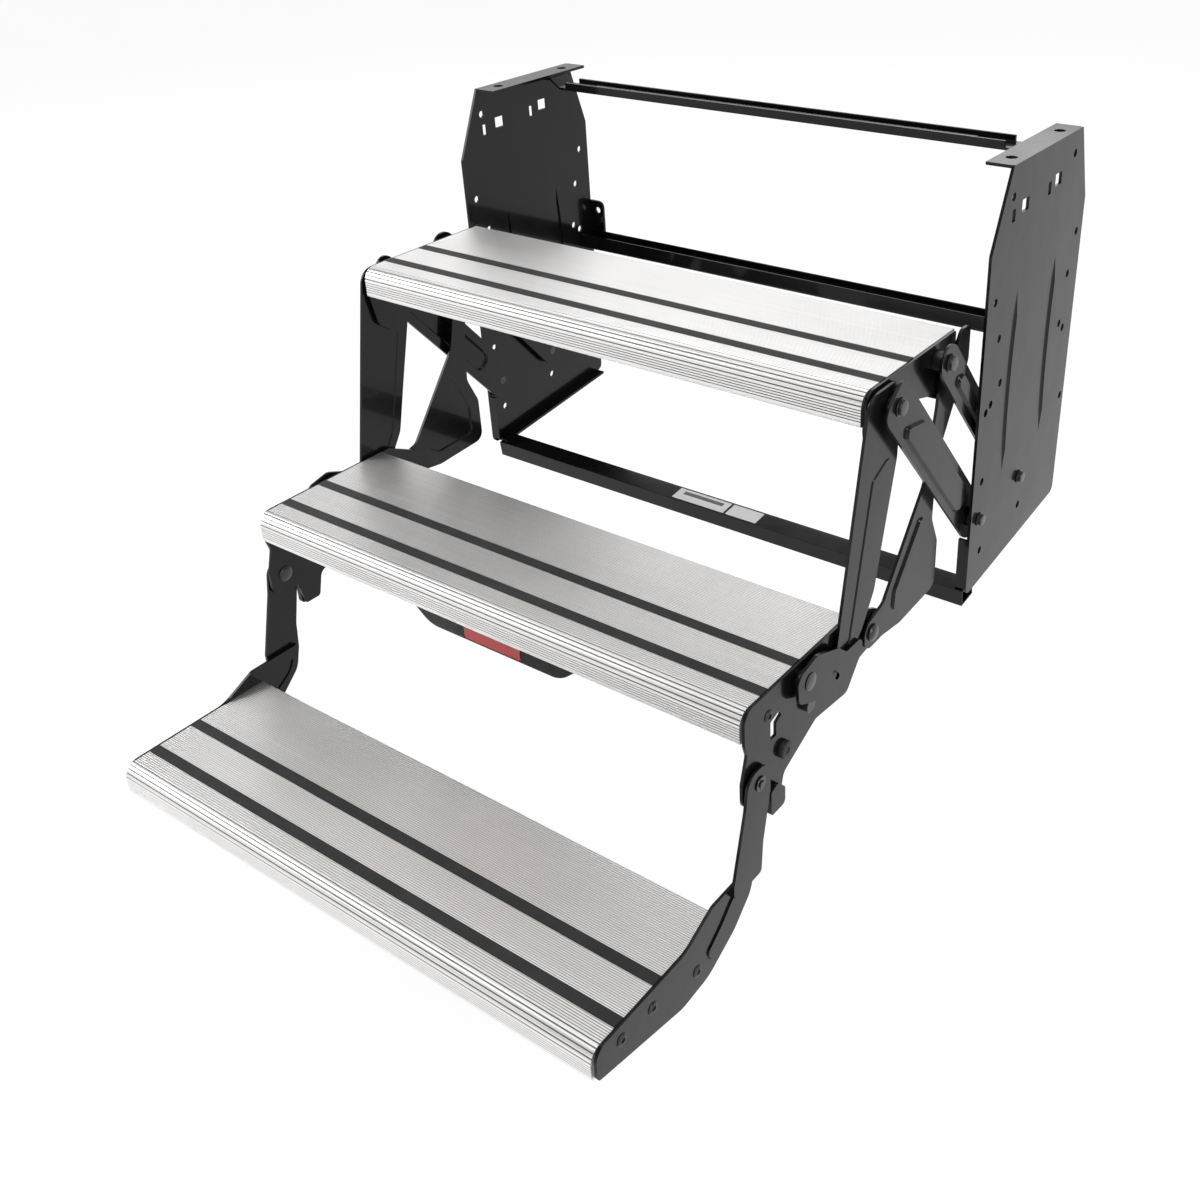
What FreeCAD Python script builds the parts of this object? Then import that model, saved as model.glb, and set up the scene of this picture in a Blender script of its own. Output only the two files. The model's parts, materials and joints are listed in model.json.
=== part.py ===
"""Folding entry step with three treads, hung from a vehicle's frame.

Millimetres. X runs across the treads, Y from the front tread towards the vehicle, Z up.
The origin is the centre of the four frame-bolt holes, on top of the hanger flanges.
The shape is the step pulled out and ready to climb.
"""
import FreeCAD, Part
import math
import os
import Sketcher
from FreeCAD import Placement, Rotation, Vector

os.makedirs("parts", exist_ok=True)
doc = FreeCAD.newDocument("folding_entry_step")

# Driving dimensions: name, value in millimetres (or degrees), what it is.
DRIVING = [
    ("half_tread", 300, "half the length of a tread"),
    ("gauge", 3, "sheet thickness of the side plates, legs, arms and links"),
    ("side_gap", 2, "air between a tread's end plate and the leg beside it"),
    ("foot_joggle", 4, "how far a leg's foot stands out from the leg"),
    ("link_inner", 314, "inner face of the hanger links"),
    ("hanger_inner", 323, "inner face of the hanger plates"),
    ("link_rib", 3, "height of the pressed rib in a link"),
    ("plate_rib", 2, "height of a pressed rib in a hanger plate or arm"),
    ("flange_width", 28, "top flange of a hanger plate"),
    ("ledge_width", 13, "bottom flange of a hanger plate"),
    ("lip_width", 9, "front lip of a hanger plate, the stop for the front link"),
    ("tread_depth", 172, "tread from nose to back edge"),
    ("tread_height", 31, "depth of a tread's nose"),
    ("tread_wall", 4, "thickness of a tread's top wall"),
    ("nose_radius", 14, "round of a tread's nose"),
    ("strip_width", 12.2, "width of a grip strip"),
    ("strip_groove", 2, "depth of the groove that holds a grip strip"),
    ("pivot_pin", 5, "radius of a pivot bolt's shank"),
    ("pivot_play", 0.06, "running clearance on the radius at a pivot"),
    ("head_radius", 8.5, "radius of a pivot bolt's head"),
    ("small_hole", 3, "radius of a screw hole"),
    ("spare_hole", 4, "radius of a spare fixing hole in a hanger plate or tab"),
    ("frame_hole", 5.5, "radius of a frame-bolt hole in a top flange"),
]
D = {name: value for name, value, _ in DRIVING}

sheet = doc.addObject("Spreadsheet::Sheet", "dims")
sheet.Label = "driving dimensions"
for row, (name, value, note) in enumerate(DRIVING, start=1):
    sheet.set(f"A{row}", note)
    sheet.set(f"B{row}", str(value))
    sheet.setAlias(f"B{row}", name)
doc.recompute()

NODES = []


# ------------------------------------------------------------------ key points, as (y, z)
TREAD_TOP = (-125, -142)        # back top edge of each tread
TREAD_MIDDLE = (-311, -352)
TREAD_BOTTOM = (-520, -540)

FRONT_PIVOT = (-95, -350)       # hanger to front link
REAR_PIVOT = (-1, -344)         # hanger to rear link
FRONT_EYE = (-259, -164)        # front link and front leg on the top step
ARM_EYE = (-143, -182)          # rear arm on the top step
LEG_FOOT = (-392, -370)         # front leg on the middle step
STEP_HINGE = (-465, -432)       # bottom step on the middle step


def shifted(point, start, end):
    """The point moved by the step from start to end."""
    return tuple(p + b - a for p, a, b in zip(point, start, end))


REAR_EYE = shifted(FRONT_EYE, FRONT_PIVOT, REAR_PIVOT)    # rear link on the top step
ARM_FOOT = shifted(ARM_EYE, FRONT_EYE, LEG_FOOT)          # rear arm on the middle step


def between(start, end, share):
    """The point that lies a share of the way from start to end."""
    return tuple(a + share * (b - a) for a, b in zip(start, end))


def along(start, end, distance):
    """The point at a distance from start towards end."""
    return between(start, end, distance / math.dist(start, end))


# ------------------------------------------------------------------ outlines
def rounded(corners):
    """Lines and arcs of a closed outline whose corners are (y, z, radius)."""
    count = len(corners)
    runs = []
    for i, (y, z, radius) in enumerate(corners):
        here = Vector(y, z, 0)
        if not radius:
            runs.append((here, here, here, 0))
            continue
        before = Vector(*corners[i - 1][:2], 0) - here
        after = Vector(*corners[(i + 1) % count][:2], 0) - here
        half = before.getAngle(after) / 2
        cut = radius / math.tan(half)
        start = here + before.normalize() * cut
        end = here + after.normalize() * cut
        centre = here + (before + after).normalize() * (radius / math.sin(half))
        middle = centre + (here - centre).normalize() * radius
        runs.append((start, middle, end, radius))
    shapes = []
    for i, (start, middle, end, radius) in enumerate(runs):
        if radius:
            shapes.append(Part.Arc(start, middle, end))
        following = runs[(i + 1) % count][0]
        if end.distanceToPoint(following) > 1e-6:
            shapes.append(Part.LineSegment(end, following))
    return shapes


def slot(start, end, half_width):
    """A slot with round ends, from start to end."""
    a, b = Vector(*start, 0), Vector(*end, 0)
    run = (b - a).normalize()
    side = Vector(-run.y, run.x, 0) * half_width
    tip = run * half_width
    return [
        Part.LineSegment(a + side, b + side), Part.Arc(b + side, b + tip, b - side),
        Part.LineSegment(b - side, a - side), Part.Arc(a - side, a - tip, a + side),
    ]


def spindle(start, end, half_width):
    """A pointed outline, widest at its middle."""
    a, b = Vector(*start, 0), Vector(*end, 0)
    run = (b - a).normalize()
    side = Vector(-run.y, run.x, 0) * half_width
    middle = (a + b) / 2
    return [Part.Arc(a, middle + side, b), Part.Arc(b, middle - side, a)]


# ------------------------------------------------------------------ sheet-metal bodies
def new_body(label):
    body = doc.addObject("PartDesign::Body", label)
    body.Label = label
    NODES.append(body)
    return body


def profile(body, name, offset, shapes, plane="YZ_Plane"):
    """A sketch on one of the body's own planes, moved out by an expression."""
    sketch = body.newObject("Sketcher::SketchObject", name)
    origin_plane = next(f for f in body.Origin.OriginFeatures if f.Role == plane)
    sketch.AttachmentSupport = [(origin_plane, "")]
    sketch.MapMode = "FlatFace"
    sketch.setExpression("AttachmentOffset.Base.z", offset)
    for shape in shapes:
        sketch.addGeometry(shape, False)
    return sketch


def holes_profile(body, name, offset, centres, radius):
    """A sketch of equal round holes, their radius bound to the sheet."""
    sketch = profile(body, name, offset, [])
    for y, z in centres:
        circle = sketch.addGeometry(Part.Circle(Vector(y, z, 0), Vector(0, 0, 1), 1), False)
        tie = sketch.addConstraint(Sketcher.Constraint("Radius", circle, 1.0))
        sketch.setExpression(f"Constraints[{tie}]", radius)
    return sketch


SHOULDER = 35           # slope of a pressed rib's sides, in degrees
SPINDLE_SLOPE = 55      # the same for a rib that tapers to a point at each end
SPINDLE_SETBACK = 25    # how far the hollow behind a pointed rib stops short of its tips
SPINDLE_SHELL = 1.5     # sheet left beside that hollow


class SidePlate:
    """A plate that stands square to X, on the right (side 1) or the left (side -1)."""

    def __init__(self, name, side, inner, shapes, thickness="dims.gauge"):
        self.side = side
        self.inner = inner
        self.thickness = thickness
        self.body = new_body(f"{name}_{'right' if side > 0 else 'left'}")
        self.count = 0
        self.raise_from(inner, shapes, thickness)

    def sketch_name(self, word):
        self.count += 1
        return f"{self.body.Name}_{word}_{self.count}"

    def offset(self, distance):
        return f"{self.side} * ({distance})"

    def raise_from(self, distance, shapes, height, slope=0):
        """Add material outwards from a distance off the middle."""
        sketch = profile(self.body, self.sketch_name("outline"), self.offset(distance), shapes)
        pad = self.body.newObject("PartDesign::Pad", self.sketch_name("pad"))
        pad.Profile = sketch
        pad.Reversed = self.side < 0
        pad.TaperAngle = -slope
        pad.setExpression("Length", height)
        doc.recompute()

    def sink_from(self, distance, shapes, depth, slope=0):
        """Take material away outwards from a distance off the middle."""
        sketch = profile(self.body, self.sketch_name("hollow"), self.offset(distance), shapes)
        pocket = self.body.newObject("PartDesign::Pocket", self.sketch_name("pocket"))
        pocket.Profile = sketch
        pocket.Reversed = self.side > 0
        pocket.TaperAngle = -slope
        pocket.setExpression("Length", depth)
        doc.recompute()

    def outer(self):
        return f"{self.inner} + {self.thickness}"

    def rib(self, start, end, half_width, height, shell=2.0):
        """A pressed rib that stands outwards, hollow behind."""
        self.raise_from(self.outer(), slot(start, end, half_width), height, SHOULDER)
        self.sink_from(self.inner, slot(start, end, half_width - shell), height, SHOULDER)

    def spindle_rib(self, start, end, half_width, height):
        """A pressed rib that tapers to a point at each end, hollow behind."""
        self.raise_from(self.outer(), spindle(start, end, half_width), height,
                        SPINDLE_SLOPE)
        hollow = spindle(along(start, end, SPINDLE_SETBACK), along(end, start, SPINDLE_SETBACK),
                         half_width - SPINDLE_SHELL)
        self.sink_from(self.inner, hollow, height)

    def panel(self, corners, inset_corners, height, slope=SHOULDER):
        """A pressed panel of any outline that stands outwards, hollow behind."""
        self.raise_from(self.outer(), rounded(corners), height, slope)
        self.sink_from(self.inner, rounded(inset_corners), height, slope)

    def through(self, shapes):
        """Cut shapes right through the plate."""
        self.cut(profile(self.body, self.sketch_name("cut"), self.offset(self.inner), shapes))

    def drill(self, centres, radius):
        """Cut equal round holes right through the plate."""
        name = self.sketch_name("holes")
        self.cut(holes_profile(self.body, name, self.offset(self.inner), centres, radius))

    def cut(self, sketch):
        pocket = self.body.newObject("PartDesign::Pocket", self.sketch_name("through"))
        pocket.Profile = sketch
        pocket.Type = 1
        pocket.Midplane = True
        doc.recompute()


PIVOT_HOLE = "dims.pivot_pin + dims.pivot_play"
TIGHT_HOLE = "dims.pivot_pin"
END_PLATE = "dims.half_tread"
LEG_PLANE = "dims.half_tread + dims.gauge + dims.side_gap"
FOOT_PLANE = "dims.half_tread + dims.gauge + dims.side_gap + dims.foot_joggle"

end_plate_outer = D["half_tread"] + D["gauge"]
leg_inner = end_plate_outer + D["side_gap"]
leg_outer = leg_inner + D["gauge"]
foot_inner = leg_inner + D["foot_joggle"]
foot_outer = foot_inner + D["gauge"]
link_outer = D["link_inner"] + D["gauge"]
hanger_outer = D["hanger_inner"] + D["gauge"]


# ------------------------------------------------------------------ hanger
FLANGE_ENDS = (-79, 80)
HANGER_FRONT = -113
LEDGE_START, LEDGE_END = (HANGER_FRONT, -432), (103, -408)
LEDGE_RUN = (9, 206)            # the part of the bottom edge that is turned in
LIP_ENDS = (-424, -367.6)
HANGER = [(FLANGE_ENDS[0], 0, 2), (FLANGE_ENDS[1], 0, 2), (105, -74, 6), (*LEDGE_END, 8),
          (*LEDGE_START, 8), (HANGER_FRONT, -74, 6)]
HANGER_HOLES = [
    (-75, -29), (65, -22), (90, -106), (78, -147), (69, -198), (80, -206), (94, -288),
    (-97, -122), (-82, -162), (-71, -211), (-89, -227), (-99, -232), (-95, -308), (4, -380),
    (-87, -390),
]
# Windows as (y, z, width, height) of their centres and sides.
HANGER_WINDOWS = [(-47, -43, 15, 12), (28, -38, 15, 12), (-72, -47, 7, 12), (8, -42, 7, 12)]
HANGER_RIBS = [((-48, -125), (-48, -318)), ((40, -117), (42, -310))]
HANGER_RIB_HALF = 6
FLANGE_BOLTS = (-55, 55)


def box(y0, z0, y1, z1):
    """A plain rectangle."""
    return rounded([(y0, z0, 0), (y1, z0, 0), (y1, z1, 0), (y0, z1, 0)])


def ledge_frame(run, rise):
    """A point run along the hanger's sloping bottom edge and rise square to it."""
    length = math.dist(LEDGE_START, LEDGE_END)
    uy, uz = ((b - a) / length for a, b in zip(LEDGE_START, LEDGE_END))
    return LEDGE_START[0] + run * uy - rise * uz, LEDGE_START[1] + run * uz + rise * uy


def sloping_box(run0, rise0, run1, rise1):
    """A rectangle laid along the hanger's bottom edge."""
    corners = [(run0, rise0), (run1, rise0), (run1, rise1), (run0, rise1)]
    return rounded([(*ledge_frame(*corner), 0) for corner in corners])


for side in (1, -1):
    hanger = SidePlate("hanger", side, "dims.hanger_inner", rounded(HANGER))
    hanger.raise_from("dims.hanger_inner + dims.gauge - dims.flange_width",
                      box(FLANGE_ENDS[0], -D["gauge"], FLANGE_ENDS[1], 0),
                      "dims.flange_width - dims.gauge")
    hanger.raise_from("dims.hanger_inner - dims.ledge_width",
                      sloping_box(LEDGE_RUN[0], 0, LEDGE_RUN[1], D["gauge"]), "dims.ledge_width")
    hanger.raise_from("dims.hanger_inner - dims.lip_width",
                      box(HANGER_FRONT, LIP_ENDS[0], HANGER_FRONT + D["gauge"], LIP_ENDS[1]),
                      "dims.lip_width")
    for start, end in HANGER_RIBS:
        hanger.spindle_rib(start, end, HANGER_RIB_HALF, "dims.plate_rib")
    for y, z, wide, high in HANGER_WINDOWS:
        hanger.through(box(y - wide / 2, z - high / 2, y + wide / 2, z + high / 2))
    hanger.drill(HANGER_HOLES, "dims.spare_hole")
    hanger.drill([FRONT_PIVOT, REAR_PIVOT], PIVOT_HOLE)
    flange = profile(hanger.body, hanger.sketch_name("bolts"), "0", [], "XY_Plane")
    flange_middle = hanger_outer - D["flange_width"] / 2
    for y in FLANGE_BOLTS:
        centre = Vector(side * flange_middle, y, 0)
        circle = flange.addGeometry(Part.Circle(centre, Vector(0, 0, 1), 1), False)
        tie = flange.addConstraint(Sketcher.Constraint("Radius", circle, 1.0))
        flange.setExpression(f"Constraints[{tie}]", "dims.frame_hole")
    bolt_cut = hanger.body.newObject("PartDesign::Pocket", hanger.sketch_name("bolt_holes"))
    bolt_cut.Profile = flange
    bolt_cut.Midplane = True
    bolt_cut.Length = 4 * D["gauge"]
    doc.recompute()


# ------------------------------------------------------------------ parts that cross from side to side
def crosswise(name, shapes, length):
    """A body of one section, centred on X."""
    body = new_body(name)
    section = profile(body, name + "_section", "0", shapes)
    pad = body.newObject("PartDesign::Pad", name + "_length")
    pad.Profile = section
    pad.Midplane = True
    pad.setExpression("Length", length)
    doc.recompute()
    return body


def add_crosswise(body, shapes, length):
    """More of the same body, of another section or length."""
    count = len(body.Group)
    section = profile(body, f"{body.Name}_section_{count}", "0", shapes)
    pad = body.newObject("PartDesign::Pad", f"{body.Name}_length_{count}")
    pad.Profile = section
    pad.Midplane = True
    pad.setExpression("Length", length)
    doc.recompute()


BAR_FRONT, BAR_BACK = 16, 44       # top cross bar, front to back
BAR_DROP = 9                       # how far its middle hangs below its ends
BAR_END, BAR_BEND, BAR_FLAT = 320, 296, 284
BAR_EDGE = 9                       # height of its turned-up edges
BAR_BEAD_HALF, BAR_BEAD_HIGH = 4, 3


def top_bar():
    """A pressed bar with dropped middle, turned-up edges and flat ends under the flanges."""
    gauge = D["gauge"]
    right = [(BAR_FLAT, -gauge - BAR_DROP), (BAR_BEND, -gauge), (BAR_END, -gauge),
             (BAR_END, -2 * gauge), (BAR_BEND + 1, -2 * gauge), (BAR_FLAT, -2 * gauge - BAR_DROP)]
    left = [(-x, z) for x, z in reversed(right)]
    body = new_body("top_cross_bar")
    strip = profile(body, "top_cross_bar_strip", f"-{BAR_FRONT}",
                    rounded([(x, z, 0) for x, z in right + left]), "XZ_Plane")
    pad = body.newObject("PartDesign::Pad", "top_cross_bar_depth")
    pad.Profile = strip
    pad.Length = BAR_BACK - BAR_FRONT
    pad.Reversed = True
    doc.recompute()
    floor = -2 * gauge - BAR_DROP
    for y in (BAR_FRONT, BAR_BACK - gauge):
        add_crosswise(body, box(y, floor, y + gauge, floor + BAR_EDGE), str(2 * BAR_FLAT - 20))
    middle = (BAR_FRONT + BAR_BACK) / 2
    bead = box(middle - BAR_BEAD_HALF, floor + gauge, middle + BAR_BEAD_HALF,
               floor + gauge + BAR_BEAD_HIGH)
    add_crosswise(body, bead, str(2 * BAR_FLAT - 90))


top_bar()

CHANNEL = [(78, -212, 1), (78, -230, 3), (103, -230, 3), (103, -212, 1), (100.5, -212, 1),
           (100.5, -227.5, 1), (80.5, -227.5, 1), (80.5, -212, 1)]
CHANNEL_BEAD = (98.5, -223, 100.5, -219)
CHANNEL_LOW, CHANNEL_BACK = -230, 103
rear_channel = crosswise("rear_cross_channel", rounded(CHANNEL), "2 * dims.hanger_inner")
add_crosswise(rear_channel, box(*CHANNEL_BEAD),
              "2 * (dims.hanger_inner - dims.flange_width)")

TAB_WIDTH, TAB_TOP, TAB_CORNER = 21, -174, 8
TAB_HOLE_IN, TAB_HOLE_DOWN = 12, 12     # hole centre from the hanger and from the tab's top
for side in (1, -1):
    word = "right" if side > 0 else "left"
    tab = new_body(f"rear_tab_{word}")
    face = profile(tab, f"rear_tab_{word}_face", f"-{CHANNEL_BACK}", [], "XZ_Plane")
    near, far = D["hanger_inner"] - TAB_WIDTH, D["hanger_inner"]
    for shape in rounded([(side * near, CHANNEL_LOW + 4, 2), (side * far, CHANNEL_LOW + 4, 0),
                          (side * far, TAB_TOP, 0), (side * near, TAB_TOP, TAB_CORNER)]):
        face.addGeometry(shape, False)
    centre = Vector(side * (far - TAB_HOLE_IN), TAB_TOP - TAB_HOLE_DOWN, 0)
    hole = face.addGeometry(Part.Circle(centre, Vector(0, 0, 1), 1), False)
    tie = face.addConstraint(Sketcher.Constraint("Radius", hole, 1.0))
    face.setExpression(f"Constraints[{tie}]", "dims.spare_hole")
    pad = tab.newObject("PartDesign::Pad", f"rear_tab_{word}_pad")
    pad.Profile = face
    pad.Reversed = True
    pad.setExpression("Length", "dims.gauge")
    doc.recompute()

TUBE_RUN, TUBE_WIDE, TUBE_DEEP, TUBE_WALL = 5, 25, 19, 2
crosswise("bottom_cross_tube",
          sloping_box(TUBE_RUN, -TUBE_DEEP, TUBE_RUN + TUBE_WIDE, 0)
          + sloping_box(TUBE_RUN + TUBE_WALL, TUBE_WALL - TUBE_DEEP,
                        TUBE_RUN + TUBE_WIDE - TUBE_WALL, -TUBE_WALL),
          "2 * (dims.hanger_inner - dims.gauge)")


# ------------------------------------------------------------------ treads
STRIP_STARTS = (-80, -129.3)        # back edge of each grip strip, from the tread's back edge
STRIP_STAND = 0.5                   # how far a strip stands above the tread
TREAD_LIP = 14                      # width of the lips under the nose and the back
LIP_THICK = 3
BACK_DEPTH = 25                     # depth of the tread's back wall
WEB_PLACES, WEB_HALF, WEB_DEPTH = (-108, -66), 1.2, 14


def tread_section(back, top):
    """The hollow extrusion of one tread: top wall, two strip grooves, nose, lips and webs."""
    depth, high, wall = D["tread_depth"], D["tread_height"], D["tread_wall"]
    groove, nose = D["strip_groove"], D["nose_radius"]
    corners = [(0, 0, 1.5)]
    for start in STRIP_STARTS:
        end = start - D["strip_width"]
        corners += [(start, 0, 0), (start, -groove, 0), (end, -groove, 0), (end, 0, 0)]
    corners += [(-depth, 0, nose), (-depth, -high, 3), (TREAD_LIP - depth, -high, 0),
                (TREAD_LIP - depth, LIP_THICK - high, 0), (wall - depth, LIP_THICK - high, 1),
                (wall - depth, -wall, nose - wall)]
    for web in WEB_PLACES:
        corners += [(web - WEB_HALF, -wall, 0), (web - WEB_HALF, -WEB_DEPTH, 0),
                    (web + WEB_HALF, -WEB_DEPTH, 0), (web + WEB_HALF, -wall, 0)]
    corners += [(-wall, -wall, 1), (-wall, LIP_THICK - BACK_DEPTH, 0),
                (-TREAD_LIP, LIP_THICK - BACK_DEPTH, 0), (-TREAD_LIP, -BACK_DEPTH, 0),
                (0, -BACK_DEPTH, 1.5)]
    return rounded([(back + y, top + z, radius) for y, z, radius in corners])


def build_tread(name, origin):
    """One tread and its two grip strips."""
    back, top = origin
    crosswise(f"tread_{name}", tread_section(back, top), "2 * dims.half_tread")
    for place, start in zip(("rear", "front"), STRIP_STARTS):
        crosswise(f"grip_strip_{name}_{place}",
                  box(back + start - D["strip_width"], top - D["strip_groove"],
                      back + start, top + STRIP_STAND), "2 * dims.half_tread")


for tread_name, tread_origin in (("top", TREAD_TOP), ("middle", TREAD_MIDDLE),
                                 ("bottom", TREAD_BOTTOM)):
    build_tread(tread_name, tread_origin)


# ------------------------------------------------------------------ links, legs and arms
LINK_PANEL = [(38, -15, 13), (38, 15, 13), (214, 15, 3), (222, 6, 6), (196, -15, 10)]
LINK_PANEL_INSET = [(41, -12, 10), (41, 12, 10), (211, 12, 2), (216, 6, 4), (194, -12, 8)]
REAR_LINK_RIB = (34, 212, 8)        # start, end and half width of its rib


def on_link(start, end, corners):
    """Corners given as (distance from start, sideways, radius) laid along a link."""
    length = math.dist(start, end)
    uy, uz = ((b - a) / length for a, b in zip(start, end))
    return [(start[0] + s * uy - t * uz, start[1] + s * uz + t * uy, radius)
            for s, t, radius in corners]


def link_end(start, end, half_width, start_round, end_round, start_past, end_past):
    """A link's outline, with its own corner rounding at each end."""
    length = math.dist(start, end)
    local = [(-start_past, -half_width, start_round), (length + end_past, -half_width, end_round),
             (length + end_past, half_width, end_round), (-start_past, half_width, start_round)]
    return rounded(on_link(start, end, local))


LEG = [(-238, -145, 16), (-243, -222, 30), (-262, -290, 60), (-276, -342, 25), (-296, -372, 14),
       (-318, -392, 8), (-345, -392, 8), (-294.5, -145, 18)]
FOOT = [(-300, -376, 8), (-304, -395, 10), (-322, -408, 12), (-356, -405, 16), (-394, -392, 14),
        (-410, -384, 10), (-412, -357, 12), (-380, -350, 12), (-344, -364, 12), (-330, -376, 4)]
FOOT_WELD = [(-304, -379, 0), (-308, -390, 0), (-341, -390, 0), (-339, -379, 0)]
ARM = [(-107, -142, 8), (-125, -142, 8), (-138, -161, 3), (-152, -163, 5), (-163, -176, 10),
       (-167, -206, 20), (-184, -276, 30), (-256, -368, 10), (-290, -376, 13), (-290, -404, 13),
       (-256, -403, 10), (-222, -408, 14), (-150, -404, 12), (-150, -352, 14), (-164, -322, 14),
       (-162, -280, 16), (-156, -250, 20), (-128, -205, 20), (-107, -178, 12)]
ARM_PANEL = [(-188, -304, 6), (-238, -364, 12), (-240, -384, 8), (-222, -396, 10),
             (-162, -393, 8), (-162, -355, 12), (-175, -325, 12)]
ARM_PANEL_INSET = [(-188, -308, 4), (-235, -364, 10), (-237, -382, 6), (-222, -392.5, 8),
                   (-165, -390, 6), (-165, -356, 10), (-177, -328, 10)]
LEG_PANEL = [(-287, -226, 8), (-257, -212, 6), (-254, -226, 20), (-270, -290, 60),
             (-284, -340, 25), (-300, -366, 10), (-316, -382, 4), (-322, -380, 4)]
LEG_PANEL_INSET = [(-285.5, -230, 6), (-260, -217, 4), (-258, -228, 18), (-273.5, -290, 58),
                   (-287, -339, 23), (-302, -363, 8), (-314, -375, 1.5), (-318, -373, 1.5)]

for side in (1, -1):
    front = SidePlate("front_link", side, "dims.link_inner",
                      link_end(FRONT_PIVOT, FRONT_EYE, 22, 21.9, 12, 22, 16))
    front.panel(on_link(FRONT_PIVOT, FRONT_EYE, LINK_PANEL),
                on_link(FRONT_PIVOT, FRONT_EYE, LINK_PANEL_INSET), "dims.link_rib")
    front.drill([FRONT_EYE], PIVOT_HOLE)
    front.drill([FRONT_PIVOT], TIGHT_HOLE)

    rear = SidePlate("rear_link", side, "dims.link_inner",
                     link_end(REAR_PIVOT, REAR_EYE, 17, 16.9, 16.9, 17, 17))
    rib_start, rib_end, rib_half = REAR_LINK_RIB
    rear.rib(along(REAR_PIVOT, REAR_EYE, rib_start), along(REAR_PIVOT, REAR_EYE, rib_end),
             rib_half, "dims.link_rib")
    rear.drill([REAR_EYE], PIVOT_HOLE)
    rear.drill([REAR_PIVOT], TIGHT_HOLE)

    leg = SidePlate("front_leg", side, LEG_PLANE, rounded(LEG))
    leg.raise_from(FOOT_PLANE, rounded(FOOT), "dims.gauge")
    leg.raise_from(LEG_PLANE + " + dims.gauge", rounded(FOOT_WELD),
                   "dims.foot_joggle - dims.gauge")
    leg.panel(LEG_PANEL, LEG_PANEL_INSET, "0.5 * dims.plate_rib")
    leg.through(slot((-352, -386), (-345, -394), 3))
    leg.drill([FRONT_EYE, LEG_FOOT], PIVOT_HOLE)

    arm = SidePlate("rear_arm", side, LEG_PLANE, rounded(ARM))
    arm.panel(ARM_PANEL, ARM_PANEL_INSET, "dims.plate_rib")
    arm.drill([ARM_EYE, ARM_FOOT], PIVOT_HOLE)


# ------------------------------------------------------------------ end plates of the three steps
TOP_BRACKET = [(-127, -142.5, 3), (-127, -198, 12), (-150, -204, 14), (-180, -189, 12),
               (-205, -182, 14), (-235, -200, 14), (-258, -228, 14), (-287, -208, 14),
               (-293.5, -178, 10), (-293.5, -142.5, 14)]
MIDDLE_PLATE = [(-300, -352.5, 8), (-256, -374, 12), (-254, -406, 14), (-290, -410, 8),
                (-312, -436, 10), (-367, -430, 12), (-420, -454, 10), (-427, -480, 4),
                (-447, -480, 4), (-451, -454, 3), (-484, -452, 12), (-484, -424, 10),
                (-476, -398, 8), (-479.5, -386, 3), (-479.5, -352.5, 14)]
MIDDLE_WINDOW = [(-441, -386, 1), (-428, -382, 1), (-424, -388, 1), (-432, -392, 1),
                 (-432, -405, 1), (-441, -405, 1)]
STOP_TAB = [(-449, -480, 3), (-427, -480, 5), (-427, -462, 5), (-438, -450, 5), (-449, -454, 2)]
BLADE_UPPER = [(-449, -416, 15.8), (-481, -416, 15.8), (-487, -450, 20), (-506, -518, 6),
               (-506, -532, 4), (-464, -532, 4), (-461, -500, 20), (-449, -450, 20)]
BLADE_LOWER = [(-466, -522, 4), (-474, -550, 25), (-500, -574, 40), (-540, -595, 40),
               (-578, -598, 30), (-688, -573, 5), (-688, -540.5, 14), (-570, -540.5, 40),
               (-530, -522, 12)]
BLADE_WELD = [(-505, -531, 0), (-469, -531, 0), (-468, -523, 0), (-505, -523, 0)]
BLADE_PANEL = [(-473, -533, 5), (-482, -551, 20), (-508, -569, 30), (-536, -580, 4),
               (-542, -566, 6), (-520, -550, 30), (-502, -533, 5)]
BLADE_PANEL_INSET = [(-476, -535, 3), (-484.5, -550, 18), (-509, -566.5, 28), (-534, -576.5, 3),
                     (-538.5, -566, 4), (-518, -551, 30), (-501, -535, 4)]
MIDDLE_SCREWS = [(-444, -377), (-330, -366)]
TOP_SCREWS = [(-281, -160)]
BOTTOM_SCREWS = [(-657, -556), (-617, -559), (-556, -574)]
SCREW_HOLE = "dims.small_hole"

for side in (1, -1):
    top_bracket = SidePlate("top_bracket", side, END_PLATE, rounded(TOP_BRACKET))
    top_bracket.drill([FRONT_EYE, REAR_EYE, ARM_EYE], TIGHT_HOLE)
    top_bracket.drill(TOP_SCREWS, SCREW_HOLE)

    middle_plate = SidePlate("middle_plate", side, END_PLATE, rounded(MIDDLE_PLATE))
    middle_plate.through(rounded(MIDDLE_WINDOW))
    middle_plate.drill([LEG_FOOT, ARM_FOOT, STEP_HINGE], TIGHT_HOLE)
    middle_plate.drill(MIDDLE_SCREWS, SCREW_HOLE)

    SidePlate("step_stop", side, END_PLATE + " + dims.gauge", rounded(STOP_TAB), "2 * dims.gauge")

    blade = SidePlate("bottom_bracket", side, END_PLATE, rounded(BLADE_LOWER))
    blade.raise_from(END_PLATE + " + dims.gauge", rounded(BLADE_WELD), "dims.side_gap")
    blade.raise_from(LEG_PLANE, rounded(BLADE_UPPER), "dims.gauge")
    blade.panel(BLADE_PANEL, BLADE_PANEL_INSET, "0.75 * dims.plate_rib", 0)
    blade.drill([STEP_HINGE], PIVOT_HOLE)
    blade.drill(BOTTOM_SCREWS, SCREW_HOLE)


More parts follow.
